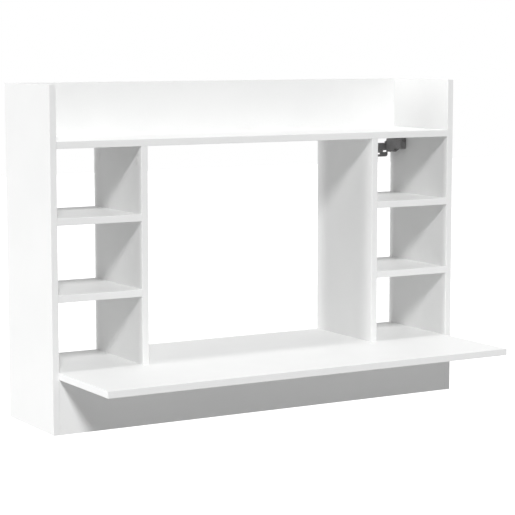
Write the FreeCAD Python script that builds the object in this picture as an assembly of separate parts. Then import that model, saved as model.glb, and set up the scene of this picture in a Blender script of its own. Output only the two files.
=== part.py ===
import FreeCAD, Part
import math
import os

Vector = FreeCAD.Vector

# Wall-hung writing desk with open cubbies, in millimetres.
# X runs along the desk, Y runs from the sitter towards the wall, Z is up. The origin is on the
# level of the lowest edges, half way along, in the plane of the case's front edges.

# Overall sizes
desk_length = 1100.0
desk_height = 785.0
case_depth = 250.0
desktop_overhang = 250.0
board_thickness = 16.0
edging_thickness = 1.0
edging_round = 0.8

# Heights of the upper faces, and the clear width of a cubby
desktop_top = 142.0
top_shelf_top = 660.0
cubby_shelf_tops = {"lower": 316.0, "upper": 489.0}
cubby_width = 210.0

# Cam locks: a cam set in one board pulls on a bolt that is screwed into the other
cam_radius = 7.5
cam_bore_depth = 12.7
cam_height = 12.3
cam_from_joint = 34.0
cam_from_case_edge = 25.0
cam_cross = (8.0, 1.4, 1.8)
cam_clearance = 0.1
bolt_bore_radius = 4.0
bolt_collar = (3.8, 1.2)
bolt_shank_radius = 3.0
bolt_neck_radius = 2.0
bolt_head_radius = 3.2
bolt_neck_start = 26.0
bolt_head_start = 30.0
bolt_end = 33.5
bolt_channel_radius = 3.6
channel_past_axis = 1.0
thread_hole = (3.0, 12.0)
thread_size = (2.9, 11.0)
cap_radius = 8.6
cap_thickness = 0.8
cap_round = 0.5

# Beech dowels
dowel_radius = 4.0
dowel_clearance = 0.05
dowel_in_face = 12.0
dowel_in_edge = 19.0
dowel_end_gap = 0.5
dowel_chamfer = 1.0
dowel_from_cam = 32.0

# Long screws that go through one board's face into the next board's edge
long_screw_head = (5.0, 3.5, 3.0)
long_screw_shank = (3.5, 15.0)
long_screw_thread = (3.2, 46.0)
long_screw_clearance = 0.1
hex_across_flats = 4.0
hex_depth = 2.5

# Hanger. u runs from the side panel's inner face towards the middle of the desk, and w runs up
# from the underside of the top shelf, so w is negative inside a cubby.
housing_width = 18.0
housing_wall = 1.5
housing_front = 180.0
housing_rear = 243.0
housing_top = -9.0
housing_front_bottom = -40.0
housing_rear_bottom = -50.0
housing_slope = (205.0, 224.0)
housing_chamfer = 8.0
flange_rear = 249.0
screw_u = 6.35
screw_radius = 2.5
screw_bore_radius = 2.56
screw_head = (4.2, 2.5)
screw_socket = (4.0, 1.6)
depth_screw_w = -18.0
depth_screw_end = 234.0
depth_screw_collar = (4.0, 181.8, 183.3)
height_screw_y = 226.0
height_screw_span = (-44.0, -22.0)
height_bore_top = -21.5
carriage_u = (2.5, 10.2)
carriage_y = (206.0, 232.0)
carriage_w = (-29.5, -13.0)
arm_u = (10.6, 14.6)
arm_front = 206.0
arm_foot_rear = 234.0
arm_shoulder = (241.0, -33.0)
arm_bottom = -38.0
arm_top = -21.0
tooth_y = (247.3, 249.3)
tooth_bottom = -36.0
lug_u = 3.0
lug_y = (221.0, 230.5)
lug_thickness = 3.0
plate_u = (10.0, 70.0)
plate_thickness = 2.0
plate_top = -27.0
plate_bottom = -63.0
plate_jog = 3.0
plate_jog_w = (-44.0, -41.0)
plate_corner = 6.0
plate_stop_u = (15.6, 20.6)
plate_stop_top = -22.5
plate_stop_corner = 1.5
slot_length = 13.0
slot_width = 4.5
plate_slots = ((18.5, -49.0), (61.5, -49.0), (40.0, -55.0))
fixing_spots = ((190.0, -31.0), (244.5, -45.5))
fixing_head = (3.8, 2.2)
fixing_shank = (1.95, 13.0)
fixing_pilot = (2.0, 13.5)
fixing_flange_hole = 2.2

# Lengths and places that differ by less than this are the same
same_place = 0.001

# Places worked out from the sizes above
half_length = desk_length / 2
side_inner = half_length - board_thickness
divider_outer = side_inner - cubby_width
divider_inner = divider_outer - board_thickness
desktop_bottom = desktop_top - board_thickness
shelf_underside = top_shelf_top - board_thickness
half_board = board_thickness / 2
case_middle = case_depth / 2

towards_wall = Vector(0, 1, 0)
up = Vector(0, 0, 1)
sides = {"left": -1, "right": 1}

# Which axis each edge of a board faces, and whether it is the low or the high end
edge_faces = {
    "left": (0, 0),
    "right": (0, 1),
    "front": (1, 0),
    "rear": (1, 1),
    "bottom": (2, 0),
    "top": (2, 1),
}


def box(low, high):
    size = [end - start for start, end in zip(low, high)]
    return Part.makeBox(*size, Vector(*low))


def rod(radius, start, direction, length):
    return Part.makeCylinder(radius, length, start, direction)


def prism(points, sweep):
    """A flat outline of corner points, carried along a vector."""
    return Part.Face(Part.makePolygon(points + points[:1])).extrude(sweep)


def joined(solids):
    whole = solids[0].fuse(solids[1:]) if len(solids) > 1 else solids[0]
    return whole.removeSplitter()


def hex_recess(mouth, inward, across_flats, depth):
    """A six-sided key socket that starts at the mouth and runs inward."""
    first = Vector(0, 0, 1) if abs(inward.z) < 1 else Vector(1, 0, 0)
    second = inward.cross(first)
    corner = across_flats / math.sqrt(3)
    turns = [math.radians(60 * step) for step in range(6)]
    points = [mouth + first * (corner * math.cos(a)) + second * (corner * math.sin(a)) for a in turns]
    return prism(points, inward * depth)


# ---- Boards and their edging ------------------------------------------------------------------

boards = {}
drillings = {}


def add_board(name, low, high, edged):
    """Notes a board's outer box, and which of its edges carry edging, the longest-running first."""
    boards[name] = (low, high, edged)
    drillings[name] = []


def rounded_strip(low, high, axis, outer):
    """An edging strip whose two long outer edges are rounded."""
    solid = box(low, high)
    longest = max(end - start for start, end in zip(low, high))
    outer_edges = [
        edge
        for edge in solid.Edges
        if abs(edge.Length - longest) < same_place and abs(edge.CenterOfMass[axis] - outer) < same_place
    ]
    return solid.makeFillet(edging_round, outer_edges)


def core_and_strips(low, high, edged):
    """Splits a board's box into the core and the strips glued to its edges."""
    core = [list(low), list(high)]
    strips = []
    for face in edged:
        axis, end = edge_faces[face]
        outer = core[end][axis]
        inner = outer + (edging_thickness if end == 0 else -edging_thickness)
        strip = [list(core[0]), list(core[1])]
        strip[1 - end][axis] = inner
        core[end][axis] = inner
        strips.append(rounded_strip(strip[0], strip[1], axis, outer))
    return box(*core), strips


def mirrored_span(sign, near, far):
    return sorted((sign * near, sign * far))


def lay_out_boards():
    """Every board of the case, with the desktop between the sides and past their front edges."""
    for side, sign in sides.items():
        left, right = mirrored_span(sign, side_inner, half_length)
        panel = ((left, 0, 0), (right, case_depth, desk_height))
        add_board("side_panel_" + side, *panel, ("front", "rear", "top", "bottom"))

        left, right = mirrored_span(sign, divider_inner, divider_outer)
        divider = ((left, 0, desktop_top), (right, case_depth, shelf_underside))
        add_board("divider_" + side, *divider, ("front", "rear"))

        left, right = mirrored_span(sign, divider_outer, side_inner)
        for level, top in cubby_shelf_tops.items():
            shelf = ((left, 0, top - board_thickness), (right, case_depth, top))
            add_board("cubby_shelf_" + side + "_" + level, *shelf, ("front", "rear"))

    top_shelf = ((-side_inner, 0, shelf_underside), (side_inner, case_depth, top_shelf_top))
    add_board("top_shelf", *top_shelf, ("front", "rear"))

    rail_front = case_depth - board_thickness
    rail = ((-side_inner, rail_front, top_shelf_top), (side_inner, case_depth, desk_height))
    add_board("back_rail", *rail, ("top",))

    desktop = ((-side_inner, -desktop_overhang, desktop_bottom), (side_inner, case_depth, desktop_top))
    add_board("desktop", *desktop, ("front", "rear", "left", "right"))

    apron = ((-side_inner, 0, 0), (side_inner, board_thickness, desktop_bottom))
    add_board("apron", *apron, ("bottom",))


# ---- Fasteners between the boards -------------------------------------------------------------

fasteners = {"cam_locks": [], "cam_bolts": [], "cam_caps": [], "wooden_dowels": [], "long_screws": []}


def cam_body(face_spot, out_of_face, into_board):
    """A round cam with a channel for the bolt's head and a cross for the screwdriver."""
    top = face_spot - out_of_face * (cam_bore_depth - cam_height)
    axis_spot = face_spot - out_of_face * half_board
    body = rod(cam_radius - cam_clearance, top, out_of_face * -1, cam_height)
    mouth = axis_spot - into_board * cam_radius
    channel = rod(bolt_channel_radius, mouth, into_board, cam_radius + channel_past_axis)
    cross_length, cross_width, cross_depth = cam_cross
    across = out_of_face.cross(into_board)
    cuts = [channel]
    for along, sideways in ((into_board, across), (across, into_board)):
        ends = [along * (cross_length / 2), along * (-cross_length / 2)]
        edge = sideways * (cross_width / 2)
        points = [top + ends[0] + edge, top + ends[1] + edge, top + ends[1] - edge, top + ends[0] - edge]
        cuts.append(prism(points, out_of_face * -cross_depth))
    return body.cut(cuts)


def cam_bolt(meeting, into_board):
    """The threaded end is in the far board, and the head is in the middle of the cam."""
    collar_radius, collar_length = bolt_collar
    head_start = meeting + into_board * bolt_head_start
    pieces = [
        rod(thread_size[0], meeting - into_board * thread_size[1], into_board, thread_size[1]),
        rod(collar_radius, meeting, into_board, collar_length),
        rod(bolt_shank_radius, meeting, into_board, bolt_neck_start),
        rod(bolt_neck_radius, meeting, into_board, bolt_end),
        rod(bolt_head_radius, head_start, into_board, bolt_end - bolt_head_start),
    ]
    return joined(pieces)


def cam_cap(face_spot, out_of_face):
    disc = rod(cap_radius, face_spot, out_of_face, cap_thickness)
    outer = (face_spot + out_of_face * cap_thickness).dot(out_of_face)
    rims = [edge for edge in disc.Edges if edge.Closed]
    top_rims = [rim for rim in rims if abs(rim.CenterOfMass.dot(out_of_face) - outer) < same_place]
    return disc.makeFillet(cap_round, top_rims)


def add_cam_joint(cam_board, bolt_board, meeting, into_board, out_of_face, capped=False):
    """meeting is the spot between the boards, in the middle of the cam board's thickness."""
    face_spot = meeting + into_board * cam_from_joint + out_of_face * half_board
    drillings[cam_board].append(rod(cam_radius, face_spot, out_of_face * -1, cam_bore_depth))
    drillings[cam_board].append(rod(bolt_bore_radius, meeting, into_board, cam_from_joint))
    drillings[bolt_board].append(rod(thread_hole[0], meeting, into_board * -1, thread_hole[1]))
    fasteners["cam_locks"].append(cam_body(face_spot, out_of_face, into_board))
    fasteners["cam_bolts"].append(cam_bolt(meeting, into_board))
    if capped:
        fasteners["cam_caps"].append(cam_cap(face_spot, out_of_face))


def add_dowel(edge_board, face_board, meeting, into_edge):
    """A dowel that is deep in one board's edge and shallow in the other board's face."""
    drillings[edge_board].append(rod(dowel_radius, meeting, into_edge, dowel_in_edge))
    drillings[face_board].append(rod(dowel_radius, meeting, into_edge * -1, dowel_in_face))
    start = meeting - into_edge * (dowel_in_face - dowel_end_gap)
    dowel_length = dowel_in_face + dowel_in_edge - 2 * dowel_end_gap
    dowel = rod(dowel_radius - dowel_clearance, start, into_edge, dowel_length)
    rims = [edge for edge in dowel.Edges if edge.Closed]
    fasteners["wooden_dowels"].append(dowel.makeChamfer(dowel_chamfer, rims))


def add_long_screw(face_board, edge_board, head_spot):
    """A countersunk screw that goes up through a flat board into the edge of an upright one."""
    head_radius, neck_radius, head_height = long_screw_head
    shank_radius, shank_length = long_screw_shank
    thread_radius, thread_length = long_screw_thread
    screw = [
        Part.makeCone(head_radius, neck_radius, head_height, head_spot, up),
        rod(shank_radius, head_spot, up, shank_length),
        rod(thread_radius, head_spot, up, thread_length),
    ]
    socket = hex_recess(head_spot, up, hex_across_flats, hex_depth)
    fasteners["long_screws"].append(joined(screw).cut(socket))
    gap = long_screw_clearance
    countersink = Part.makeCone(head_radius + gap, neck_radius + gap, head_height, head_spot, up)
    drillings[face_board].append(countersink)
    drillings[face_board].append(rod(shank_radius + gap, head_spot, up, board_thickness))
    drillings[edge_board].append(rod(thread_radius + gap, head_spot, up, thread_length + gap))


def fasten_ends_to_sides():
    """Cams and dowels at both ends of the four long boards that run between the sides."""
    out_of_side = {side: Vector(-sign, 0, 0) for side, sign in sides.items()}
    shelf_middle = shelf_underside + half_board
    desktop_middle = desktop_bottom + half_board
    near_edges = (cam_from_case_edge, case_depth - cam_from_case_edge)
    long_flat_boards = (("top_shelf", shelf_middle, True), ("desktop", desktop_middle, False))
    for side, sign in sides.items():
        panel = "side_panel_" + side
        end_x = sign * side_inner
        inward = out_of_side[side]
        for cam_y, step in zip(near_edges, (dowel_from_cam, -dowel_from_cam)):
            for board, level, capped in long_flat_boards:
                add_cam_joint(board, panel, Vector(end_x, cam_y, level), inward, up * -1, capped)
                add_dowel(board, panel, Vector(end_x, cam_y + step, level), inward)
        rail_middle = (top_shelf_top + desk_height) / 2
        apron_middle = desktop_bottom / 2
        uprights = (
            ("back_rail", case_depth - half_board, rail_middle, towards_wall),
            ("apron", half_board, apron_middle, towards_wall),
        )
        for board, y, middle, out_of_face in uprights:
            half_step = dowel_from_cam / 2
            add_cam_joint(board, panel, Vector(end_x, y, middle + half_step), inward, out_of_face)
            add_dowel(board, panel, Vector(end_x, y, middle - half_step), inward)


def fasten_dividers():
    """Each divider hangs from the top shelf on two cams, and stands on the desktop on two screws."""
    divider_middle = divider_inner + half_board
    near_edges = (cam_from_case_edge, case_depth - cam_from_case_edge)
    for side, sign in sides.items():
        divider = "divider_" + side
        x = sign * divider_middle
        into_cubby = Vector(sign, 0, 0)
        for cam_y, step in zip(near_edges, (dowel_from_cam, -dowel_from_cam)):
            add_cam_joint(divider, "top_shelf", Vector(x, cam_y, shelf_underside), up * -1, into_cubby, True)
            add_dowel(divider, "top_shelf", Vector(x, cam_y + step, shelf_underside), up * -1)
            add_long_screw("desktop", divider, Vector(x, cam_y + step, desktop_bottom))
        add_dowel(divider, "desktop", Vector(x, case_middle, desktop_top), up)


def fasten_cubby_shelves():
    """Each cubby shelf sits on two dowels at each end."""
    near_edges = (dowel_from_cam, case_depth - dowel_from_cam)
    for side, sign in sides.items():
        for level, top in cubby_shelf_tops.items():
            shelf = "cubby_shelf_" + side + "_" + level
            middle = top - half_board
            for y in near_edges:
                outer_end = Vector(sign * side_inner, y, middle)
                inner_end = Vector(sign * divider_outer, y, middle)
                add_dowel(shelf, "side_panel_" + side, outer_end, Vector(-sign, 0, 0))
                add_dowel(shelf, "divider_" + side, inner_end, Vector(sign, 0, 0))


def fasten_rail_and_apron():
    """The rail is screwed up through the top shelf, and the apron is pulled up to the desktop."""
    rail_y = case_depth - half_board
    cubby_middle = (side_inner + divider_outer) / 2
    for x in (-cubby_middle, 0, cubby_middle):
        add_long_screw("top_shelf", "back_rail", Vector(x, rail_y, shelf_underside))
    apron_span = cubby_middle
    for x in (-apron_span, 0, apron_span):
        add_cam_joint("apron", "desktop", Vector(x, half_board, desktop_bottom), up * -1, towards_wall)
    for x in (-apron_span / 2, apron_span / 2):
        add_dowel("back_rail", "top_shelf", Vector(x, rail_y, top_shelf_top), up)
        add_dowel("apron", "desktop", Vector(x, half_board, desktop_bottom), up * -1)


# ---- Hangers and wall plates ------------------------------------------------------------------


def spot(sign, u, y, w):
    return Vector(sign * (side_inner - u), y, shelf_underside + w)


def slab(sign, u_span, outline):
    """An outline of (y, w) corners, as thick as the u span."""
    points = [spot(sign, u_span[0], y, w) for y, w in outline]
    return prism(points, Vector(-sign * (u_span[1] - u_span[0]), 0, 0))


def bar(sign, section, y_span):
    """A section of (u, w) corners, as long as the y span."""
    points = [spot(sign, u, y_span[0], w) for u, w in section]
    return prism(points, towards_wall * (y_span[1] - y_span[0]))


def block(sign, u_span, y_span, w_span):
    front, rear = y_span
    bottom, top = w_span
    return slab(sign, u_span, [(front, bottom), (rear, bottom), (rear, top), (front, top)])


def housing_section(inset, bottom):
    """The housing from the front: a channel, open below, with its inner top corner cut off."""
    inner = housing_width - inset
    top = housing_top - inset
    slope_sum = housing_width - housing_chamfer + housing_top - inset * math.sqrt(2)
    return [
        (inset, bottom),
        (inner, bottom),
        (inner, slope_sum - inner),
        (slope_sum - top, top),
        (inset, top),
    ]


def housing_outline(rear):
    """The housing from the side: deeper at the wall end."""
    return [
        (housing_front, housing_top),
        (housing_front, housing_front_bottom),
        (housing_slope[0], housing_front_bottom),
        (housing_slope[1], housing_rear_bottom),
        (rear, housing_rear_bottom),
        (rear, housing_top),
    ]


def hanger_housing(sign):
    below = housing_rear_bottom - housing_wall
    cover = bar(sign, housing_section(0, below), (housing_front, housing_rear))
    cover = cover.common(slab(sign, (0, housing_width), housing_outline(housing_rear)))
    cavity_start = housing_front + housing_wall
    cavity = bar(sign, housing_section(housing_wall, below - housing_wall), (cavity_start, flange_rear))
    flange = slab(sign, (0, housing_wall), housing_outline(flange_rear))
    housing = joined([cover.cut(cavity), flange])
    into_panel = Vector(sign, 0, 0)
    screw_entry = spot(sign, screw_u, housing_front, depth_screw_w)
    holes = [rod(screw_bore_radius, screw_entry, towards_wall, housing_wall)]
    for y, w in fixing_spots:
        holes.append(rod(fixing_flange_hole, spot(sign, housing_wall, y, w), into_panel, housing_wall))
    return housing.cut(holes)


def hanger_carriage(sign):
    """The block that the depth screw moves. The height screw turns in its underside."""
    body = block(sign, carriage_u, carriage_y, carriage_w)
    length = carriage_y[1] - carriage_y[0]
    depth_entry = spot(sign, screw_u, carriage_y[0], depth_screw_w)
    depth_bore = rod(screw_bore_radius, depth_entry, towards_wall, length)
    rise = height_bore_top - carriage_w[0]
    height_bore = rod(screw_bore_radius, spot(sign, screw_u, height_screw_y, carriage_w[0]), up, rise)
    return body.cut([depth_bore, height_bore])


def hook_arm(sign):
    """A steel plate with a tooth that drops behind the wall plate, and a lug for the height screw."""
    outline = [
        (arm_front, arm_top),
        (arm_front, arm_bottom),
        (arm_foot_rear, arm_bottom),
        arm_shoulder,
        (arm_shoulder[0], plate_top),
        (tooth_y[0], plate_top),
        (tooth_y[0], tooth_bottom),
        (tooth_y[1], tooth_bottom),
        (tooth_y[1], arm_top),
    ]
    arm = slab(sign, arm_u, outline)
    lug = block(sign, (lug_u, arm_u[0]), lug_y, (arm_bottom, arm_bottom + lug_thickness))
    bore = rod(screw_bore_radius, spot(sign, screw_u, height_screw_y, arm_bottom), up, lug_thickness)
    return joined([arm, lug]).cut(bore)


def depth_screw(sign):
    head_radius, head_height = screw_head
    collar_radius, collar_start, collar_end = depth_screw_collar
    head_start = housing_front - head_height
    head_face = spot(sign, screw_u, head_start, depth_screw_w)
    collar_face = spot(sign, screw_u, collar_start, depth_screw_w)
    parts = [
        rod(head_radius, head_face, towards_wall, head_height),
        rod(screw_radius, head_face, towards_wall, depth_screw_end - head_start),
        rod(collar_radius, collar_face, towards_wall, collar_end - collar_start),
    ]
    return joined(parts).cut(hex_recess(head_face, towards_wall, *screw_socket))


def height_screw(sign):
    head_radius, head_height = screw_head
    low, high = height_screw_span
    head_bottom = spot(sign, screw_u, height_screw_y, low - head_height)
    parts = [
        rod(head_radius, head_bottom, up, head_height),
        rod(screw_radius, head_bottom, up, high - low + head_height),
    ]
    return joined(parts).cut(hex_recess(head_bottom, up, *screw_socket))


def slot_cut(sign, u, w):
    """A level slot with round ends, through the wall plate."""
    radius = slot_width / 2
    reach = slot_length / 2 - radius
    y = case_depth - plate_thickness - plate_jog
    depth = plate_thickness + plate_jog
    ends = [rod(radius, spot(sign, u + step, y, w), towards_wall, depth) for step in (-reach, reach)]
    middle = block(sign, (u - reach, u + reach), (y, y + depth), (w - radius, w + radius))
    return joined(ends + [middle])


def rounded_top(solid, radius):
    """A plate standing across the y axis, with its two upper corners rounded."""
    box_top = solid.BoundBox.ZMax
    corners = []
    for edge in solid.Edges:
        ends = [vertex.Point for vertex in edge.Vertexes]
        if abs(ends[0].y - ends[1].y) > same_place and min(ends[0].z, ends[1].z) > box_top - same_place:
            corners.append(edge)
    return solid.makeFillet(radius, corners)


def wall_plate(sign):
    """Flat on the wall below, and set forward above, so that the hook's tooth fits behind it. A stop
    beside the tooth keeps it from sliding off."""
    back = case_depth
    front = back - plate_thickness
    low_w, high_w = plate_jog_w
    lean = plate_thickness * (math.sqrt(2) - 1)
    outline = [
        (back, plate_bottom),
        (front, plate_bottom),
        (front, low_w),
        (front - plate_jog, high_w),
        (front - plate_jog, plate_top),
        (back - plate_jog, plate_top),
        (back - plate_jog, high_w + lean),
        (back, low_w + lean),
    ]
    plate = slab(sign, plate_u, outline)
    blank = block(sign, plate_u, (front - plate_jog, back), (plate_bottom, plate_top))
    depth = plate_thickness + plate_jog
    corner_edges = [edge for edge in blank.Edges if abs(edge.Length - depth) < same_place]
    plate = plate.common(blank.makeFillet(plate_corner, corner_edges))
    stop = block(sign, plate_stop_u, (front - plate_jog, back - plate_jog), (plate_top, plate_stop_top))
    plate = joined([plate, rounded_top(stop, plate_stop_corner)])
    return plate.cut([slot_cut(sign, u, w) for u, w in plate_slots])


def fixing_screws(sign):
    """The screws that hold a housing's flange to the side panel, with their pilot holes."""
    head_radius, head_height = fixing_head
    shank_radius, shank_length = fixing_shank
    panel = "side_panel_left" if sign < 0 else "side_panel_right"
    into_panel = Vector(sign, 0, 0)
    screws = []
    for y, w in fixing_spots:
        head_top = spot(sign, housing_wall + head_height, y, w)
        head = rod(head_radius, head_top, into_panel, head_height)
        shank = rod(shank_radius, head_top, into_panel, head_height + housing_wall + shank_length)
        screws.append(joined([head, shank]))
        drillings[panel].append(rod(fixing_pilot[0], spot(sign, 0, y, w), into_panel, fixing_pilot[1]))
    return screws


# ---- Build and export -------------------------------------------------------------------------


def build_nodes():
    lay_out_boards()
    fasten_ends_to_sides()
    fasten_dividers()
    fasten_cubby_shelves()
    fasten_rail_and_apron()
    nodes = {}
    fixings = []
    for side, sign in sides.items():
        nodes["hanger_housing_" + side] = hanger_housing(sign)
        nodes["hanger_carriage_" + side] = hanger_carriage(sign)
        nodes["hook_arm_" + side] = hook_arm(sign)
        nodes["depth_screw_" + side] = depth_screw(sign)
        nodes["height_screw_" + side] = height_screw(sign)
        nodes["wall_plate_" + side] = wall_plate(sign)
        fixings += fixing_screws(sign)
    nodes["hanger_fixing_screws"] = Part.Compound(fixings)
    for name, (low, high, edged) in boards.items():
        core, strips = core_and_strips(low, high, edged)
        nodes[name] = core.cut(drillings[name])
        drilled_strips = [solid for strip in strips for solid in strip.cut(drillings[name]).Solids]
        nodes[name + "_edging"] = Part.Compound(drilled_strips)
    for name, solids in fasteners.items():
        nodes[name] = Part.Compound(solids)
    return nodes


os.makedirs("parts", exist_ok=True)
for node, shape in build_nodes().items():
    shape.exportStep("parts/" + node + ".step")
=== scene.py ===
import math
import bmesh
import bpy
import numpy as np
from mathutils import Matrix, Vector


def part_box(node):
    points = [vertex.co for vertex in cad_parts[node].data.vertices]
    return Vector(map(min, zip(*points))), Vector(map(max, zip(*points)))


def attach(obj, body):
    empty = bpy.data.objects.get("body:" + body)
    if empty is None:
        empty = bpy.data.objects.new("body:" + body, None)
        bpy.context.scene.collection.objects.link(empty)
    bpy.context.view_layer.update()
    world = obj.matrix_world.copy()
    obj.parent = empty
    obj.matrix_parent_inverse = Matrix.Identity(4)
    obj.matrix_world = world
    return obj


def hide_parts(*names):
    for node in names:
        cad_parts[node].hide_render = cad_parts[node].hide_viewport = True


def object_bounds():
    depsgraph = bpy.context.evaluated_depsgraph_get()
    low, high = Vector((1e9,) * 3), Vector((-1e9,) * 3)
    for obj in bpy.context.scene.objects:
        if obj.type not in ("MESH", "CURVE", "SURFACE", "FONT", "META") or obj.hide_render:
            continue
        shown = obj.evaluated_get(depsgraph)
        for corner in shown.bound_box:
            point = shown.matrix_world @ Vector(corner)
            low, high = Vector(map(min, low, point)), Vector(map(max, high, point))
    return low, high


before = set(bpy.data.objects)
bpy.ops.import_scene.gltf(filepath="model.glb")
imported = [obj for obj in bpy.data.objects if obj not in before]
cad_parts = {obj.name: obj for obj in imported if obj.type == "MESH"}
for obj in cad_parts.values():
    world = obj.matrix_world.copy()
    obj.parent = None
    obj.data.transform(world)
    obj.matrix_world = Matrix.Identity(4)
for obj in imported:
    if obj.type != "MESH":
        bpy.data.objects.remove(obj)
cadBox = [list(corner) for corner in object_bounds()]
cadCentre = Vector([(low + high) / 2 for low, high in zip(*cadBox)])
millimetre = 0.001
hands = ("left", "right")


class Wire:
    # Wraps one output of a material's nodes. Arithmetic on it adds Math nodes.
    def __init__(self, tree, socket=None):
        self.tree = tree
        self.socket = socket

    def node(self, kind, settings=None, sockets=None, output=0):
        # the settings come first, because they change which sockets a node has
        made = self.tree.nodes.new(kind)
        for name, value in (settings or {}).items():
            setattr(made, name, value)
        for name, value in (sockets or {}).items():
            if isinstance(value, Wire):
                self.tree.links.new(value.socket, made.inputs[name])
            else:
                made.inputs[name].default_value = value
        return Wire(self.tree, made.outputs[output])

    def math(self, operation, *values):
        return self.node("ShaderNodeMath", {"operation": operation}, dict(enumerate(values)))

    def __add__(self, other):
        return self.math("ADD", self, other)

    def __radd__(self, other):
        return self.math("ADD", other, self)

    def __sub__(self, other):
        return self.math("SUBTRACT", self, other)

    def __rsub__(self, other):
        return self.math("SUBTRACT", other, self)

    def __mul__(self, other):
        return self.math("MULTIPLY", self, other)

    def __rmul__(self, other):
        return self.math("MULTIPLY", other, self)

    def __abs__(self):
        return self.math("ABSOLUTE", self)

    def ramp(self, low, high):
        # 0 below low and 1 above high, with a smooth rise between them
        values = {"Value": self, "From Min": low, "From Max": high}
        return self.node("ShaderNodeMapRange", {"interpolation_type": "SMOOTHSTEP"}, values)

    def stretched(self, factors):
        return self.node("ShaderNodeVectorMath", {"operation": "MULTIPLY"}, {0: self, 1: factors})

    def noise(self, scale, detail=2.0, roughness=0.5):
        # the scale is in spots to the metre
        values = {"Vector": self, "Scale": scale, "Detail": detail, "Roughness": roughness}
        return self.node("ShaderNodeTexNoise", {}, values)

    def parts(self):
        split = self.node("ShaderNodeSeparateXYZ", {}, {0: self}).socket.node
        return [Wire(self.tree, output) for output in split.outputs]

    def colours(self, first, second):
        # this wire, from 0 to 1, fades the first colour into the second
        values = {0: self, 6: asColour(first), 7: asColour(second)}
        return self.node("ShaderNodeMix", {"data_type": "RGBA"}, values, output=2)

    def vectors(self, first, second):
        values = {0: self, 4: first, 5: second}
        return self.node("ShaderNodeMix", {"data_type": "VECTOR"}, values, output=1)


def asColour(value):
    return value if isinstance(value, Wire) else (*value, 1.0)


def newFinish(name, constants):
    # A Principled material. The constants are the values that are the same all over the surface.
    material = bpy.data.materials.new(name)
    material.use_nodes = True
    shader = material.node_tree.nodes["Principled BSDF"]
    for socketName, value in constants.items():
        shader.inputs[socketName].default_value = value
    start = Wire(material.node_tree)
    coordinates = start.node("ShaderNodeTexCoord", output=3)
    normal = start.node("ShaderNodeTexCoord", output=1)
    return material, shader, coordinates, normal


def connect(shader, colour, roughness, height, metallic=None):
    # height is in metres
    tree = colour.tree
    bump = colour.node("ShaderNodeBump", {}, {"Height": height, "Distance": 1.0, "Strength": 1.0})
    tree.links.new(colour.socket, shader.inputs["Base Color"])
    tree.links.new(roughness.socket, shader.inputs["Roughness"])
    tree.links.new(bump.socket, shader.inputs["Normal"])
    if metallic is not None:
        tree.links.new(metallic.socket, shader.inputs["Metallic"])


# melamine-faced boards
boardLooks = {
    "paperPale": (0.872, 0.875, 0.871),
    "paperDeep": (0.846, 0.849, 0.846),
    "rubbedEdge": (0.800, 0.795, 0.782),
    "pearlHeight": 0.000012,
    "peelHeight": 0.00003,
    "waveHeight": 0.00012,
    "roughness": 0.40,
    "chipDark": (0.235, 0.150, 0.082),
    "chipPale": (0.640, 0.475, 0.300),
    "chipHeight": 0.00025,
    "chipStretch": (1.0, 1.0, 2.2),
    "chipRoughness": 0.88,
    "skin": 0.0011,
    "edgeBand": 0.009,
    "rubStrength": 0.35,
}
boardScales = {
    "cloud": 7.0,
    "smear": 14.0,
    "wave": 24.0,
    "rub": 55.0,
    "peel": 190.0,
    "formation": 260.0,
    "chips": 420.0,
    "chipTone": 900.0,
    "pearl": 1500.0,
}


def boardFinish(node):
    # White paper-faced particle board. Drillings and cut edges show the chips inside.
    low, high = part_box(node)
    sizes = [high[i] - low[i] for i in range(3)]
    through = sizes.index(min(sizes))
    material, shader, place, normal = newFinish(node + "_melamine", {"IOR": 1.47, "Metallic": 0.0})
    along = place.parts()
    depth = along[through] - low[through]
    depth = depth.math("MINIMUM", depth, high[through] - along[through])
    onSkin = 1.0 - depth.ramp(boardLooks["skin"] * 0.8, boardLooks["skin"])
    onFace = abs(normal.parts()[through]).ramp(0.55, 0.75)
    onFace = onFace.math("MAXIMUM", onFace, onSkin)

    # how near a spot is to the board's nearest edge, across the face
    reach = None
    for axis in [i for i in range(3) if i != through]:
        for distance in (along[axis] - low[axis], high[axis] - along[axis]):
            reach = distance if reach is None else reach.math("MINIMUM", reach, distance)
    nearEdge = 1.0 - reach.ramp(0.0, boardLooks["edgeBand"])

    cloud = place.noise(boardScales["cloud"], detail=3.0)
    formation = place.noise(boardScales["formation"])
    rub = place.noise(boardScales["rub"], detail=4.0, roughness=0.65).ramp(0.50, 0.72) * nearEdge
    paper = (cloud * 0.65 + formation * 0.35).ramp(0.30, 0.70)
    paper = paper.colours(boardLooks["paperDeep"], boardLooks["paperPale"])
    paper = (rub * boardLooks["rubStrength"]).colours(paper, boardLooks["rubbedEdge"])

    flakes = place.stretched(boardLooks["chipStretch"])
    chips = flakes.node("ShaderNodeTexVoronoi", {}, {"Scale": boardScales["chips"]}, output=1)
    chipTone = place.noise(boardScales["chipTone"], detail=3.0) * 0.5 + chips.parts()[0] * 0.5
    chipColour = chipTone.ramp(0.2, 0.8).colours(boardLooks["chipDark"], boardLooks["chipPale"])

    colour = onFace.colours(chipColour, paper)
    smear = place.noise(boardScales["smear"], detail=3.0)
    faceRough = boardLooks["roughness"] + smear * 0.10 + formation * 0.06 + rub * 0.12
    roughness = faceRough * onFace + (1.0 - onFace) * boardLooks["chipRoughness"]
    pearl = place.noise(boardScales["pearl"], detail=1.0) * boardLooks["pearlHeight"]
    peel = place.noise(boardScales["peel"]) * boardLooks["peelHeight"]
    wave = place.noise(boardScales["wave"], detail=1.0) * boardLooks["waveHeight"]
    chipRelief = chipTone * (1.0 - onFace) * boardLooks["chipHeight"]
    connect(shader, colour, roughness, pearl + peel + wave + chipRelief)
    return material


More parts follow.
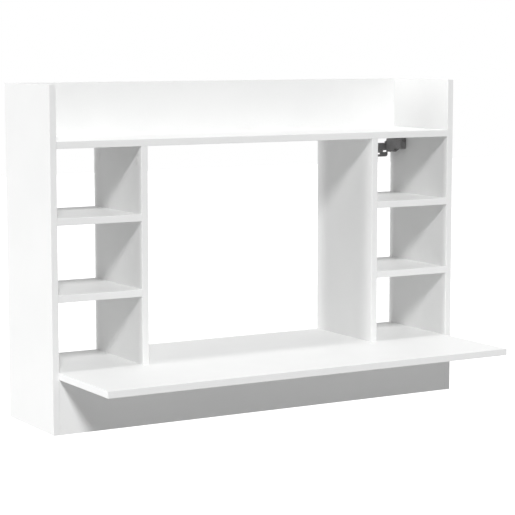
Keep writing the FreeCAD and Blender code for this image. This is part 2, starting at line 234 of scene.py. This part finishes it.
# plastic edging
edgingLooks = {
    "pale": (0.866, 0.869, 0.866),
    "deep": (0.838, 0.842, 0.840),
    "scuffed": (0.770, 0.766, 0.752),
    "acrossScale": 900.0,
    "alongScale": 9.0,
    "streakHeight": 0.000012,
    "chatterHeight": 0.000008,
    "cloudScale": 16.0,
    "scuffScale": 120.0,
    "chatterScale": 1300.0,
    "scuffStrength": 0.45,
    "roughness": 0.33,
}

# Which way the strips run, for each axis that their wide faces look along (0, 1, 2 for x, y, z)
stripRuns = {
    "side_panel": {1: 2, 2: 1},
    "divider": {1: 2},
    "cubby_shelf": {1: 0},
    "top_shelf": {1: 0},
    "back_rail": {2: 0},
    "desktop": {1: 0, 0: 1},
    "apron": {2: 0},
}


def alongRun(run, alongScale, acrossScale):
    return tuple(alongScale if axis == run else acrossScale for axis in range(3))


def edgingFinish(node):
    # Extruded strip: fine lines along it, faint planer chatter across it, scuffs on its round edges.
    runs = next(value for stem, value in stripRuns.items() if node.startswith(stem))
    material, shader, place, normal = newFinish(node + "_satin", {"IOR": 1.50, "Metallic": 0.0})
    facing = [abs(part) for part in normal.parts()]
    lines = None
    for axis, run in runs.items():
        factors = alongRun(run, edgingLooks["alongScale"], edgingLooks["acrossScale"])
        here = place.stretched(factors)
        lines = here if lines is None else facing[axis].ramp(0.5, 0.7).vectors(lines, here)
    streak = lines.noise(1.0, detail=3.0)
    cloud = place.noise(edgingLooks["cloudScale"])
    chatter = place.noise(edgingLooks["chatterScale"], detail=1.0)
    flattest = facing[0].math("MAXIMUM", facing[0], facing[1].math("MAXIMUM", facing[1], facing[2]))
    onRound = 1.0 - flattest.ramp(0.86, 0.985)
    scuff = place.noise(edgingLooks["scuffScale"], detail=4.0, roughness=0.7).ramp(0.52, 0.70) * onRound

    colour = (streak * 0.45 + cloud * 0.55).ramp(0.3, 0.7)
    colour = colour.colours(edgingLooks["deep"], edgingLooks["pale"])
    colour = (scuff * edgingLooks["scuffStrength"]).colours(colour, edgingLooks["scuffed"])
    roughness = edgingLooks["roughness"] + streak * 0.10 + cloud * 0.05 + scuff * 0.2
    height = streak * edgingLooks["streakHeight"] + chatter * edgingLooks["chatterHeight"]
    connect(shader, colour, roughness, height)
    return material


# small hardware
capLooks = {
    "pale": (0.858, 0.860, 0.852),
    "deep": (0.822, 0.824, 0.815),
    "flowScale": 90.0,
    "grainScale": 2600.0,
    "grainHeight": 0.000016,
    "roughness": 0.42,
}
zincLooks = {
    "pale": (0.64, 0.64, 0.63),
    "deep": (0.43, 0.43, 0.425),
    "cloudScale": 420.0,
    "pitScale": 2200.0,
    "pitHeight": 0.00003,
    "roughness": 0.44,
}
plateLooks = {"pale": (0.70, 0.70, 0.69), "warm": (0.66, 0.63, 0.55)}
darkPlateLooks = {"pale": (0.30, 0.298, 0.30), "warm": (0.25, 0.245, 0.24)}
plating = {
    "tintScale": 140.0,
    "smudgeScale": 600.0,
    "brushScale": 3200.0,
    "brushHeight": 0.000006,
    "roughness": 0.26,
}
beechLooks = {
    "pale": (0.74, 0.56, 0.37),
    "deep": (0.55, 0.36, 0.20),
    "grainScale": 1400.0,
    "grainStretch": (1.0, 1.0, 0.12),
    "fleckScale": 2600.0,
    "fleckStretch": (1.0, 1.0, 0.3),
    "grainHeight": 0.00006,
    "roughness": 0.62,
}
coatLooks = {
    "pale": (0.300, 0.295, 0.298),
    "deep": (0.245, 0.240, 0.243),
    "bareSteel": (0.56, 0.55, 0.54),
    "dust": (0.5, 0.5, 0.5),
    "cloudScale": 120.0,
    "rubScale": 330.0,
    "peelScale": 1100.0,
    "dustScale": 4200.0,
    "peelHeight": 0.00002,
    "dustHeight": 0.00001,
    "wearDepth": 0.00003,
    "roughness": 0.46,
    "sheetTone": 1.0,
    "plateTone": 0.94,
}


def capFinish():
    # Injection moulded: an even spark-eroded grain, and faint flow marks
    material, shader, place, _ = newFinish("cap_moulded_white", {"IOR": 1.49, "Metallic": 0.0})
    flow = place.noise(capLooks["flowScale"])
    grain = place.noise(capLooks["grainScale"])
    colour = (flow * 0.7 + grain * 0.3).ramp(0.3, 0.7).colours(capLooks["deep"], capLooks["pale"])
    roughness = capLooks["roughness"] + grain * 0.16
    connect(shader, colour, roughness, grain * capLooks["grainHeight"])
    return material


def zincFinish():
    # Die-cast: dull and cloudy, with flow lines and small pits
    material, shader, place, _ = newFinish("cam_cast_zinc", {})
    cloud = place.noise(zincLooks["cloudScale"], detail=4.0, roughness=0.6)
    pits = place.noise(zincLooks["pitScale"]).ramp(0.60, 0.72)
    colour = cloud.ramp(0.25, 0.75).colours(zincLooks["deep"], zincLooks["pale"])
    metallic = 1.0 - pits * 0.15
    roughness = zincLooks["roughness"] + cloud * 0.2 + pits * 0.15
    connect(shader, colour, roughness, pits * -zincLooks["pitHeight"], metallic)
    return material


def platedFinish(name, looks):
    # Plated steel with a slight tint that comes and goes, and handling smudges
    material, shader, place, _ = newFinish(name, {})
    tint = place.noise(plating["tintScale"])
    brush = place.noise(plating["brushScale"])
    smudge = place.noise(plating["smudgeScale"], detail=3.0).ramp(0.45, 0.75)
    colour = tint.ramp(0.35, 0.75).colours(looks["pale"], looks["warm"])
    metallic = 1.0 - smudge * 0.05
    roughness = plating["roughness"] + smudge * 0.18 + brush * 0.08
    connect(shader, colour, roughness, brush * plating["brushHeight"], metallic)
    return material


def beechFinish():
    # Short dark flecks and open grain, drawn out along z
    material, shader, place, _ = newFinish("dowel_beech", {"IOR": 1.45, "Metallic": 0.0})
    drawnOut = place.stretched(beechLooks["grainStretch"])
    grain = drawnOut.noise(beechLooks["grainScale"], detail=4.0, roughness=0.6)
    fleck = place.stretched(beechLooks["fleckStretch"]).noise(beechLooks["fleckScale"]).ramp(0.6, 0.7)
    colour = grain.ramp(0.3, 0.7).colours(beechLooks["deep"], beechLooks["pale"])
    colour = (fleck * 0.5).colours(colour, beechLooks["deep"])
    roughness = beechLooks["roughness"] + grain * 0.15
    connect(shader, colour, roughness, grain * beechLooks["grainHeight"])
    return material


def coatedFinish(name, tone):
    # Dark grey powder coat with fine orange peel. The bends and punched rims, which carry the
    # attribute rim, are rubbed down to steel here and there.
    material, shader, place, _ = newFinish(name, {"IOR": 1.5})
    rim = place.node("ShaderNodeAttribute", {"attribute_name": "rim"}, output=2)
    peel = place.noise(coatLooks["peelScale"], detail=3.0, roughness=0.55)
    cloud = place.noise(coatLooks["cloudScale"])
    dust = place.noise(coatLooks["dustScale"], detail=1.0).ramp(0.64, 0.74)
    rubbed = place.noise(coatLooks["rubScale"], detail=4.0, roughness=0.65).ramp(0.56, 0.66) * rim
    pale = [value * tone for value in coatLooks["pale"]]
    deep = [value * tone for value in coatLooks["deep"]]
    colour = (cloud * 0.6 + peel * 0.4).ramp(0.3, 0.7).colours(deep, pale)
    colour = (dust * 0.06).colours(colour, coatLooks["dust"])
    colour = (rubbed * 0.8).colours(colour, coatLooks["bareSteel"])
    roughness = coatLooks["roughness"] + cloud * 0.10 + peel * 0.08 - rubbed * 0.12
    relief = peel * coatLooks["peelHeight"] + dust * coatLooks["dustHeight"]
    height = relief - rubbed * coatLooks["wearDepth"]
    connect(shader, colour, roughness, height, rubbed * 0.9)
    return material


finishes = {
    "cap": capFinish(),
    "zinc": zincFinish(),
    "plated": platedFinish("screw_bright_steel", plateLooks),
    "darkPlated": platedFinish("screw_dark_steel", darkPlateLooks),
    "beech": beechFinish(),
    "coatedSheet": coatedFinish("hanger_coated_sheet", coatLooks["sheetTone"]),
    "coatedPlate": coatedFinish("hanger_coated_plate", coatLooks["plateTone"]),
}


def paint(node, material):
    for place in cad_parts[node].material_slots:
        place.material = material


boardNodes = sorted(name[: -len("_edging")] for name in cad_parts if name.endswith("_edging"))
for board in boardNodes:
    paint(board, boardFinish(board))
    paint(board + "_edging", edgingFinish(board + "_edging"))
for node, finish in {
    "cam_locks": "zinc",
    "cam_bolts": "plated",
    "cam_caps": "cap",
    "wooden_dowels": "beech",
    "long_screws": "plated",
    "hanger_fixing_screws": "darkPlated",
}.items():
    paint(node, finishes[finish])
print("finishes made for", len(boardNodes), "boards and their hardware")


def ringSkin(rings):
    # rings is rows x segments x 3. Neighbouring rings are joined by quads, and the first and last
    # are closed by a fan to their middle, so the skin is one closed surface.
    rows, segments = rings.shape[:2]
    points = np.vstack([rings.reshape(-1, 3), rings[0].mean(0), rings[-1].mean(0)])
    row, step = np.meshgrid(np.arange(rows - 1), np.arange(segments), indexing="ij")
    after = (step + 1) % segments
    quads = np.stack([row * segments + step, row * segments + after,
                      (row + 1) * segments + after, (row + 1) * segments + step], axis=-1)
    ring = np.arange(segments)
    following = (ring + 1) % segments
    last = (rows - 1) * segments
    start = np.stack([following, ring, np.full(segments, rows * segments)], axis=-1)
    end = np.stack([last + ring, last + following, np.full(segments, rows * segments + 1)], axis=-1)
    return points, quads.reshape(-1, 4), np.vstack([start, end])


turnedSharpAngle = 32.0  # degrees: edges of turned pieces that are sharper stay crisp


def addPiece(name, skins, material, body, replaced):
    # one mesh from several closed skins
    points, faces, count = [], [], 0
    for skinPoints, quads, triangles in skins:
        points.append(skinPoints)
        faces += (quads + count).tolist() + (triangles + count).tolist()
        count += len(skinPoints)
    mesh = bpy.data.meshes.new(name)
    mesh.from_pydata(np.vstack(points), [], faces)
    placePiece(name, mesh, material, body, replaced, turnedSharpAngle)


def placePiece(name, mesh, material, body, replaced, sharpAngle):
    mesh.polygons.foreach_set("use_smooth", np.ones(len(mesh.polygons), dtype=bool))
    mesh.set_sharp_from_angle(angle=math.radians(sharpAngle))
    mesh.materials.append(material)
    mesh.update()
    piece = bpy.data.objects.new(name, mesh)
    bpy.context.scene.collection.objects.link(piece)
    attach(piece, body)
    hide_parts(replaced)


samePlaceDecimals = 7  # of a metre, within which two corners are one
nearWidest = 0.97  # share of the largest radius that counts as the widest part


def solidClouds(node):
    # The corner points of each separate solid in a node. Triangles that share a corner take the
    # lowest label among their corners, until no label changes.
    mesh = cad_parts[node].data
    points = np.empty(len(mesh.vertices) * 3)
    mesh.vertices.foreach_get("co", points)
    corners = np.empty(len(mesh.loops), dtype=int)
    mesh.loops.foreach_get("vertex_index", corners)
    rounded = np.round(points.reshape(-1, 3), samePlaceDecimals)
    spots, merged = np.unique(rounded, axis=0, return_inverse=True)
    triangles = merged.ravel()[corners].reshape(-1, 3)
    labels = np.arange(len(spots))
    settled = False
    while not settled:
        before = labels.copy()
        np.minimum.at(labels, triangles.ravel(), np.repeat(before[triangles].min(axis=1), 3))
        settled = np.array_equal(before, labels)
    return [spots[labels == label] for label in np.unique(labels)]


def widestEnd(cloud):
    # A round solid's axis, as a unit vector towards the end where it is widest, with its length
    # and the middle of its other end.
    low, high = cloud.min(axis=0), cloud.max(axis=0)
    sizes = high - low
    spreads = [abs(sizes[(i + 1) % 3] - sizes[(i + 2) % 3]) for i in range(3)]
    run = int(np.argmin(spreads))
    middle = (low + high) / 2
    across = np.delete(cloud - middle, run, axis=1)
    distance = np.hypot(across[:, 0], across[:, 1])
    widest = cloud[distance > distance.max() * nearWidest, run].mean()
    axis = np.zeros(3)
    axis[run] = 1.0 if widest >= middle[run] else -1.0
    return axis, sizes[run], middle - axis * sizes[run] / 2


def turned(base, axis, sections):
    # A turned shape: at height h and angle a a point is base + h times the axis + r(h, a) times
    # (cos a times the side + sin a times the cross direction). Each section holds some heights and
    # their radii, rows x segments.
    heights = np.concatenate([section[0] for section in sections])
    radii = np.vstack([section[1] for section in sections])
    axis = np.array(axis, float)
    side = np.roll(axis, 1)
    cross = np.cross(axis, side)
    angles = stepAngles(radii.shape[1])
    outward = np.cos(angles)[:, None] * side + np.sin(angles)[:, None] * cross
    return ringSkin(np.array(base) + heights[:, None, None] * axis + radii[:, :, None] * outward)


def stepAngles(segments):
    return np.linspace(0.0, 2.0 * np.pi, segments, endpoint=False)


def plainRings(stations, segments):
    # round rings, from pairs of height and radius
    heights, radii = np.array(stations, float).T
    return heights, np.repeat(radii[:, None], segments, axis=1)


def roundedRim(top, radius, rounding, steps=6):
    # a quarter circle from the side of a head to its top, as pairs of height and radius
    turns = np.linspace(0.0, np.pi / 2, steps)
    heights = top - rounding * (1 - np.sin(turns))
    return list(zip(heights, radius - rounding * (1 - np.cos(turns))))


def recess(top, depth, outline, steps):
    # A driver recess: rings of the outline's shape, from pairs of drop and width, as shares of the
    # depth and of the outline.
    drops, widths = np.array(steps, float).T
    return top - depth * drops, widths[:, None] * outline[None, :]


def crossOutline(segments, armLength, armHalfWidth):
    # distance from the middle to the outline of two crossed bars, at each angle
    almostZero = 1e-6
    cosine = np.maximum(np.abs(np.cos(stepAngles(segments))), almostZero)
    sine = np.maximum(np.abs(np.sin(stepAngles(segments))), almostZero)
    first = np.minimum(armLength / cosine, armHalfWidth / sine)
    second = np.minimum(armHalfWidth / cosine, armLength / sine)
    return np.maximum(first, second)


def hexOutline(segments, acrossFlats):
    # distance to a hexagon's side: half the width over the cosine of the angle from its middle
    return acrossFlats / 2 / np.cos((stepAngles(segments) % (np.pi / 3)) - np.pi / 6)


pointShare = 0.12  # of the full radius, left at the tip of a pointed screw


def threadRows(looks, start, end, crest, leadIn=0.0):
    # A 60 degree thread: the radius falls from the crest by the depth, as a clipped triangle wave of
    # height over pitch less the angle's share of a turn. It runs out smoothly at both ends, and the
    # lead-in tapers the first stretch of it to a point.
    pitch = looks["pitch"]
    rows = int((end - start) / pitch * looks["rowsPerTurn"])
    heights = np.linspace(start, end, rows)
    phase = (heights[:, None] / pitch - stepAngles(looks["segments"])[None, :] / (2.0 * np.pi)) % 1.0
    groove = np.clip(np.abs(2.0 * phase - 1.0) * 1.5 - 0.25, 0.0, 1.0)
    entering = np.clip((heights - start) / pitch, 0.0, 1.0)
    leaving = np.clip((end - heights) / pitch, 0.0, 1.0)
    radii = crest - looks["threadDepth"] * groove * (entering * leaving)[:, None]
    if leadIn:
        opening = np.clip((heights - start) / leadIn, 0.0, 1.0)
        radii = radii * (pointShare + (1.0 - pointShare) * opening)[:, None]
    return heights, radii


# adjusting screws of the hangers: pan heads with a cross recess, and a chamfered tip
adjustingLooks = {
    "segments": 36,
    "rowsPerTurn": 8,
    "threadDepth": 0.42 * millimetre,
    "pitch": 0.8 * millimetre,
    "shankRadius": 2.5 * millimetre,
    "headHeight": 2.5 * millimetre,
    "headRound": 0.5 * millimetre,
    "recessDepth": 1.6 * millimetre,
    "crossArm": 2.3 * millimetre,
    "crossHalfWidth": 0.55 * millimetre,
    "tipChamfer": 0.7 * millimetre,
}
# cross recess and hexagon socket, from the rim to the bottom: drop and width, as shares
recessSteps = ((0.0, 1.05), (0.09, 1.0), (0.87, 0.82), (1.0, 0.3))
socketSteps = ((0.0, 1.06), (0.06, 1.0), (0.95, 1.0), (1.0, 0.9))
headUndercut = 0.2 * millimetre


def panHead(looks, headStart, length, headRadius):
    # a flat underside, a rounded rim, and a top that is cut by the recess
    stations = [(headStart, headRadius - headUndercut), (headStart + headUndercut, headRadius)]
    stations += roundedRim(length, headRadius, looks["headRound"])
    outline = crossOutline(looks["segments"], looks["crossArm"], looks["crossHalfWidth"])
    top = plainRings(stations, looks["segments"])
    return [top, recess(length, looks["recessDepth"], outline, recessSteps)]


def adjustingScrew(cloud):
    # rows run from the middle of the tip, up the thread and over the head, down into the recess
    looks = adjustingLooks
    axis, length, base = widestEnd(cloud)
    run = int(np.argmax(np.abs(axis)))
    headRadius = np.delete(cloud.max(axis=0) - cloud.min(axis=0), run).max() / 2
    headStart = length - looks["headHeight"]
    threadEnd = headStart - looks["pitch"]
    chamfer = looks["tipChamfer"]
    tip = plainRings([(0.0, looks["shankRadius"] - chamfer)], looks["segments"])
    shaft = threadRows(looks, chamfer, threadEnd, looks["shankRadius"])
    neck = plainRings([(headStart, looks["shankRadius"])], looks["segments"])
    return turned(base, axis, [tip, shaft, neck] + panHead(looks, headStart, length, headRadius))


for hand in hands:
    for node in ("depth_screw_" + hand, "height_screw_" + hand):
        skins = [adjustingScrew(cloud) for cloud in solidClouds(node)]
        addPiece(node + "_threaded", skins, finishes["darkPlated"], node, node)
print("adjusting screws cut")


# screws that hold the hangers to the side panels
fixingLooks = {
    "segments": 32,
    "rowsPerTurn": 10,
    "threadDepth": 0.45 * millimetre,
    "pitch": 1.6 * millimetre,
    "shankRadius": 1.95 * millimetre,
    "headRadius": 3.8 * millimetre,
    "headHeight": 2.2 * millimetre,
    "headRound": 1.2 * millimetre,
    "recessDepth": 1.5 * millimetre,
    "crossArm": 1.9 * millimetre,
    "crossHalfWidth": 0.45 * millimetre,
    "point": 3.0 * millimetre,
}


def fixingScrew(cloud):
    # a wood screw: a thread that starts at a point, under a domed head
    looks = fixingLooks
    axis, length, base = widestEnd(cloud)
    headStart = length - looks["headHeight"]
    shaft = threadRows(looks, 0.0, headStart, looks["shankRadius"], looks["point"])
    return turned(base, axis, [shaft] + panHead(looks, headStart, length, looks["headRadius"]))


# long screws between the flat boards and the uprights
longLooks = {
    "segments": 36,
    "rowsPerTurn": 10,
    "threadDepth": 0.75 * millimetre,
    "pitch": 2.8 * millimetre,
    "threadRadius": 3.2 * millimetre,
    "shankRadius": 3.5 * millimetre,
    "shankLength": 15.0 * millimetre,
    "headRadius": 5.0 * millimetre,
    "headHeight": 3.0 * millimetre,
    "rimHeight": 0.3 * millimetre,
    "hexAcross": 4.0 * millimetre,
    "hexDepth": 2.5 * millimetre,
    "point": 4.0 * millimetre,
}


def longScrew(cloud):
    # a coarse thread, a plain shank, and a countersunk head with a hexagon socket
    looks = longLooks
    axis, length, base = widestEnd(cloud)
    shankStart = length - looks["shankLength"]
    headStart = length - looks["headHeight"]
    shaft = threadRows(looks, 0.0, shankStart, looks["threadRadius"], looks["point"])
    rim = looks["headRadius"] - looks["rimHeight"] / 4
    head = [(shankStart, looks["shankRadius"]), (headStart, looks["shankRadius"]),
            (length - looks["rimHeight"], rim), (length, rim)]
    socket = hexOutline(looks["segments"], looks["hexAcross"])
    rings = plainRings(head, looks["segments"])
    return turned(base, axis, [shaft, rings, recess(length, looks["hexDepth"], socket, socketSteps)])


# bolts of the cam locks. Each part after the thread has its radius, and how far past the thread it
# ends.
camBoltLooks = {
    "segments": 28,
    "rowsPerTurn": 10,
    "threadDepth": 0.6 * millimetre,
    "pitch": 2.0 * millimetre,
    "threadRadius": 2.9 * millimetre,
    "threadLength": 11.0 * millimetre,
    "collar": (3.8 * millimetre, 1.2 * millimetre),
    "shank": (3.0 * millimetre, 26.0 * millimetre),
    "neck": (2.0 * millimetre, 30.0 * millimetre),
    "head": (3.2 * millimetre, 33.5 * millimetre),
    "round": 0.7 * millimetre,
    "point": 1.5 * millimetre,
    "crossArm": 1.5 * millimetre,
    "crossHalfWidth": 0.4 * millimetre,
    "recessDepth": 1.4 * millimetre,
}


def camBolt(cloud):
    # the collar is the widest part and lies near the thread, so the axis is turned round
    looks = camBoltLooks
    towardsThread, length, headEnd = widestEnd(cloud)
    axis = -towardsThread
    base = headEnd + towardsThread * length
    meeting = looks["threadLength"]
    stations = []
    for part, start in (("collar", 0.0), ("shank", looks["collar"][1]),
                        ("neck", looks["shank"][1]), ("head", looks["neck"][1])):
        stations += [(meeting + start, looks[part][0]), (meeting + looks[part][1], looks[part][0])]
    stations = stations[:-1] + roundedRim(length, looks["head"][0], looks["round"])
    outline = crossOutline(looks["segments"], looks["crossArm"], looks["crossHalfWidth"])
    shaft = threadRows(looks, 0.0, meeting, looks["threadRadius"], looks["point"])
    rings = plainRings(stations, looks["segments"])
    return turned(base, axis, [shaft, rings, recess(length, looks["recessDepth"], outline, recessSteps)])


# moulded caps over the cams
capShape = {
    "segments": 48,
    "radius": 8.6 * millimetre,
    "thickness": 0.8 * millimetre,
    "rounding": 0.5 * millimetre,
    "backEdge": 0.05 * millimetre,
    "dish": 0.14 * millimetre,
    "ringRadius": 6.4 * millimetre,
    "ringWidth": 0.5 * millimetre,
    "gateRadius": 0.9 * millimetre,
    "gateRimShare": 1.3,
}


def camCap(cloud):
    # a flat back, a rounded rim, a shallow dished middle inside a step, and the moulding gate's dot
    looks = capShape
    towardsBack, length, face = widestEnd(cloud)
    axis = -towardsBack
    base = face + towardsBack * length
    top = looks["thickness"]
    low = top - looks["dish"]
    inside = looks["ringRadius"] - looks["ringWidth"]
    stations = [(0.0, looks["radius"] - looks["backEdge"]), (looks["backEdge"], looks["radius"])]
    stations += roundedRim(top, looks["radius"], looks["rounding"])
    stations += [(top, looks["ringRadius"]), (low, inside),
                 (low, looks["gateRadius"] * looks["gateRimShare"]),
                 (low - looks["dish"] / 2, looks["gateRadius"])]
    return turned(base, axis, [plainRings(stations, looks["segments"])])


# fluted dowels
dowelShape = {
    "segments": 72,
    "radius": 3.95 * millimetre,
    "chamfer": 1.0 * millimetre,
    "flutes": 18,
    "fluteDepth": 0.28 * millimetre,
}


def flutedDowel(cloud):
    # The radius dips by the flute depth as the fourth power of a cosine that turns once for each
    # flute. The flutes run out in the chamfered ends.
    looks = dowelShape
    axis, length, base = widestEnd(cloud)
    wave = np.cos(stepAngles(looks["segments"]) * looks["flutes"] / 2) ** 4
    fluted = looks["radius"] - looks["fluteDepth"] * wave
    end = looks["radius"] - looks["chamfer"]
    starts = plainRings([(0.0, end)], looks["segments"])
    ends = plainRings([(length, end)], looks["segments"])
    heights = np.array([looks["chamfer"], length / 2, length - looks["chamfer"]])
    return turned(base, axis, [starts, (heights, np.repeat(fluted[None, :], 3, axis=0)), ends])


fastenerPieces = (
    ("hanger_fixing_screws", "threaded", fixingScrew, "darkPlated", "dark_steel"),
    ("long_screws", "threaded", longScrew, "plated", "steel"),
    ("cam_bolts", "threaded", camBolt, "plated", "steel"),
    ("cam_caps", "moulded", camCap, "cap", "white_cap"),
    ("wooden_dowels", "fluted", flutedDowel, "beech", "beech"),
)
for node, ending, makeSkin, finish, slotName in fastenerPieces:
    clouds = solidClouds(node)
    skins = [makeSkin(cloud) for cloud in clouds]
    addPiece(node + "_" + ending, skins, finishes[finish], "desk", node)
    print(node, "made:", len(clouds))


# pressed and cast metal: how far its sharp corners are rolled over
pressedLooks = {"bendRadius": 0.45 * millimetre, "bendSteps": 3, "sharpAngle": 28.0}
castLooks = {"bendRadius": 0.22 * millimetre, "bendSteps": 2, "sharpAngle": 28.0}
rolling = {"mergeWithin": 0.001 * millimetre, "flatWithin": 1.0, "sharperThan": 40.0}  # angles in degrees


def rolledCopy(node, ending, looks, body, finish):
    # The same outline with every sharp corner rolled to a small radius, as a press tool or a mould
    # leaves it. The rolled faces carry the attribute rim.
    shape = bmesh.new()
    shape.from_mesh(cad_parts[node].data)
    bmesh.ops.remove_doubles(shape, verts=shape.verts, dist=rolling["mergeWithin"])
    flat = math.radians(rolling["flatWithin"])
    bmesh.ops.dissolve_limit(shape, angle_limit=flat, verts=shape.verts, edges=shape.edges)
    sharp = math.radians(rolling["sharperThan"])
    corners = [edge for edge in shape.edges if edge.is_manifold and edge.calc_face_angle() > sharp]
    rolled = bmesh.ops.bevel(shape, geom=corners, offset=looks["bendRadius"], profile=0.5,
                             segments=looks["bendSteps"], affect="EDGES", clamp_overlap=True)
    shape.faces.index_update()
    rolledFaces = np.zeros(len(shape.faces), dtype=np.float32)
    rolledFaces[[face.index for face in rolled["faces"]]] = 1.0
    name = node + "_" + ending
    mesh = bpy.data.meshes.new(name)
    shape.to_mesh(mesh)
    shape.free()
    mesh.attributes.new("rim", "FLOAT", "FACE").data.foreach_set("value", rolledFaces)
    placePiece(name, mesh, finishes[finish], body, node, looks["sharpAngle"])


for hand in hands:
    rolledCopy("hanger_housing_" + hand, "pressed", pressedLooks, "desk", "coatedSheet")
    for stem, bodyStem in (("hanger_carriage", "carriage"), ("hook_arm", "hook"), ("wall_plate", "hook")):
        node, body = f"{stem}_{hand}", f"{bodyStem}_{hand}"
        rolledCopy(node, "pressed", pressedLooks, body, "coatedPlate")
rolledCopy("cam_locks", "cast", castLooks, "desk", "zinc")
print("hangers pressed and cams cast")


# the camera, from the middle of the CAD box
viewing = {
    "azimuth": -30.56,
    "elevation": 6.76,
    "distance": 4.307,
    "lens": 126.93,
    "aimFromCentre": (-0.015, 0.006, -0.0215),
    "farthest": 60.0,
}


def addCamera():
    camera = bpy.data.objects.new("viewer", bpy.data.cameras.new("viewer"))
    bpy.context.scene.collection.objects.link(camera)
    turn, rise = math.radians(viewing["azimuth"]), math.radians(viewing["elevation"])
    away = Vector((math.sin(turn) * math.cos(rise), -math.cos(turn) * math.cos(rise), math.sin(rise)))
    aim = cadCentre + Vector(viewing["aimFromCentre"])
    camera.location = aim + away * viewing["distance"]
    camera.rotation_euler = (-away).to_track_quat("-Z", "Y").to_euler()
    camera.data.lens = viewing["lens"]
    camera.data.clip_end = viewing["farthest"]
    bpy.context.scene.camera = camera


# studio lights, all far away: where they come from, and how wide each looks in degrees
lightLooks = {
    "key": {"towards": (-0.33, -0.735, 0.59), "strength": 2.12, "softness": 10.0},
    "overhead": {"towards": (0.0, -0.02, 1.0), "strength": 0.72, "softness": 9.0},
    "sideFill": {"towards": (-1.0, 0.0, 0.04), "strength": 1.68, "softness": 10.0},
}
# How brightly the room glows from each side, and how bright it is where it is seen itself
surroundings = {
    "glow": {"right": 0.60, "behind": 0.48, "above": 0.40, "below": 0.70},
    "seenWhite": 1.0,
}
glowSides = {"right": (0, 1), "behind": (1, 1), "above": (2, 1), "below": (2, -1)}
# the floor lies this far below the desk, and gives off a little light itself, so that it stays pale
floorLooks = {
    "drop": 0.60,
    "size": 30.0,
    "pale": (0.90, 0.90, 0.90),
    "deep": (0.88, 0.88, 0.88),
    "lift": 0.36,
    "patchScale": 2.0,
    "roughness": 0.9,
}


def addLight(name, looks):
    light = bpy.data.lights.new(name, "SUN")
    light.energy = looks["strength"]
    light.angle = math.radians(looks["softness"])
    lamp = bpy.data.objects.new(name, light)
    bpy.context.scene.collection.objects.link(lamp)
    lamp.rotation_euler = Vector(looks["towards"]).to_track_quat("Z", "Y").to_euler()


def addSurroundings():
    # a broad glow from each side, strongest straight along its axis, and seen as plain white
    world = bpy.data.worlds.new("studio")
    world.use_nodes = True
    bpy.context.scene.world = world
    start = Wire(world.node_tree)
    seen = start.node("ShaderNodeLightPath", output=0)
    heading = start.node("ShaderNodeTexCoord", output=0).parts()
    glow = 0.0
    for side, (axis, sign) in glowSides.items():
        facing = heading[axis] * sign
        glow = glow + facing.math("MAXIMUM", facing, 0.0) * surroundings["glow"][side]
    strength = glow * (1.0 - seen) + seen * surroundings["seenWhite"]
    background = world.node_tree.nodes["Background"]
    background.inputs["Color"].default_value = (1.0, 1.0, 1.0, 1.0)
    world.node_tree.links.new(strength.socket, background.inputs["Strength"])


def addFloor():
    half = floorLooks["size"] / 2
    level = cadBox[0][2] - floorLooks["drop"]
    mesh = bpy.data.meshes.new("studio_floor")
    corners = [(-half, -half, level), (half, -half, level), (half, half, level), (-half, half, level)]
    mesh.from_pydata(corners, [], [(0, 1, 2, 3)])
    floor = bpy.data.objects.new("studio_floor", mesh)
    bpy.context.scene.collection.objects.link(floor)
    floor.visible_diffuse = False
    constants = {
        "Emission Color": (1.0, 1.0, 1.0, 1.0),
        "Emission Strength": floorLooks["lift"],
        "Roughness": floorLooks["roughness"],
    }
    material, shader, place, _ = newFinish("floor_plain", constants)
    colour = place.noise(floorLooks["patchScale"]).colours(floorLooks["deep"], floorLooks["pale"])
    material.node_tree.links.new(colour.socket, shader.inputs["Base Color"])
    mesh.materials.append(material)


addCamera()
for lightName, looks in lightLooks.items():
    addLight(lightName, looks)
addSurroundings()
addFloor()
bpy.context.scene.view_settings.view_transform = "Standard"
print("camera, lights and floor set")
